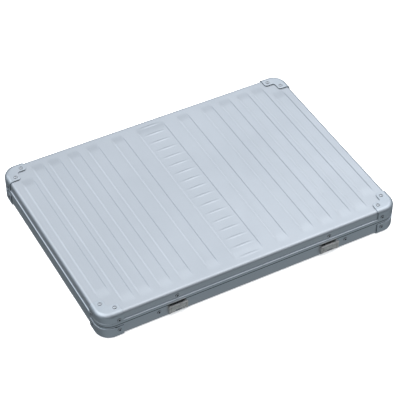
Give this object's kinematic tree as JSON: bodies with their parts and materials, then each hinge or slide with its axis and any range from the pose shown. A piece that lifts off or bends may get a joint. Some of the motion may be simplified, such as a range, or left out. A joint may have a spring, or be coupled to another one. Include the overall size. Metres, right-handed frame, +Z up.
{
  "type": "clipboard case",
  "caption": "Flat aluminium clipboard case: hinged ribbed lid over a shallow base, riveted corner caps, front latches, and a sprung clip on a lift-out writing board.",
  "frame": {"origin": "middle of the case in plan, on the flat underside of the base's corner caps", "axes": "+X to the right along the long side, +Y from the latches to the hinge, +Z up"},
  "size_m": [0.349, 0.2558, 0.0348],
  "materials": {
    "shell_aluminium": "satin",
    "rim_aluminium": "satin",
    "cap_aluminium": "satin",
    "rivet_aluminium": "satin",
    "hinge_aluminium": "brushed",
    "pin_steel": "drawn",
    "latch_steel": "brushed",
    "spring_steel": "drawn",
    "board_plastic": "fine grain",
    "rail_plastic": "matte",
    "lining_foam": "closed-cell foam",
    "clip_steel": "nickel plated",
    "grip_rubber": "matte"
  },
  "bodies": {
    "base": {"base_shell": "shell_aluminium", "base_rim": "rim_aluminium", "base_corner_cap_rear_right": "cap_aluminium", "base_corner_cap_rear_left": "cap_aluminium", "base_corner_cap_front_left": "cap_aluminium", "base_corner_cap_front_right": "cap_aluminium", "base_cap_side_rivets": "rivet_aluminium", "base_cap_foot_rivets": "rivet_aluminium", "base_rim_rivets": "rivet_aluminium", "latch_bracket_rivets": "rivet_aluminium", "hinge_base_leaf": "hinge_aluminium", "hinge_base_rivets": "rivet_aluminium", "hinge_pin": "pin_steel", "latch_left_bracket": "latch_steel", "latch_left_pin": "pin_steel", "latch_left_spring": "spring_steel", "latch_right_bracket": "latch_steel", "latch_right_pin": "pin_steel", "latch_right_spring": "spring_steel", "writing_board": "board_plastic", "board_pegs": "rail_plastic", "board_rail_left": "rail_plastic", "board_rail_right": "rail_plastic", "clip_base": "clip_steel", "clip_pin": "pin_steel", "clip_rivets": "clip_steel", "clip_spring": "spring_steel"},
    "lid": {"lid_shell": "shell_aluminium", "lid_rim": "rim_aluminium", "lid_corner_cap_rear_right": "cap_aluminium", "lid_corner_cap_rear_left": "cap_aluminium", "lid_corner_cap_front_left": "cap_aluminium", "lid_corner_cap_front_right": "cap_aluminium", "lid_cap_rivets": "rivet_aluminium", "lid_cap_side_rivets": "rivet_aluminium", "hasp_rivets": "rivet_aluminium", "hinge_lid_leaf": "hinge_aluminium", "hinge_lid_rivets": "rivet_aluminium", "latch_left_hasp": "latch_steel", "latch_right_hasp": "latch_steel", "lid_lining": "lining_foam"},
    "latch_left": {"latch_left_flap": "latch_steel"},
    "latch_right": {"latch_right_flap": "latch_steel"},
    "clip_jaw": {"clip_lever": "clip_steel", "clip_grip": "grip_rubber"}
  },
  "joints": [
    {"name": "lid_hinge", "type": "hinge", "parent": "base", "child": "lid", "pos_m": [0, 0.1261, 0.0182], "axis": [-1, 0, 0], "range_deg": [0, 180]},
    {"name": "latch_left_turn", "type": "hinge", "parent": "base", "child": "latch_left", "pos_m": [-0.0885, -0.1256, 0.0082], "axis": [1, 0, 0], "range_deg": [0, 80], "stiffness_Nm_per_rad": 0.02, "springref_deg": -28.65},
    {"name": "latch_right_turn", "type": "hinge", "parent": "base", "child": "latch_right", "pos_m": [0.0885, -0.1256, 0.0082], "axis": [1, 0, 0], "range_deg": [0, 80], "stiffness_Nm_per_rad": 0.02, "springref_deg": -28.65},
    {"name": "clip_press", "type": "hinge", "parent": "base", "child": "clip_jaw", "pos_m": [0.1425, 0.01025, 0.0172], "axis": [0, 1, 0], "range_deg": [0, 28], "stiffness_Nm_per_rad": 0.9, "springref_deg": -20.05}
  ]
}
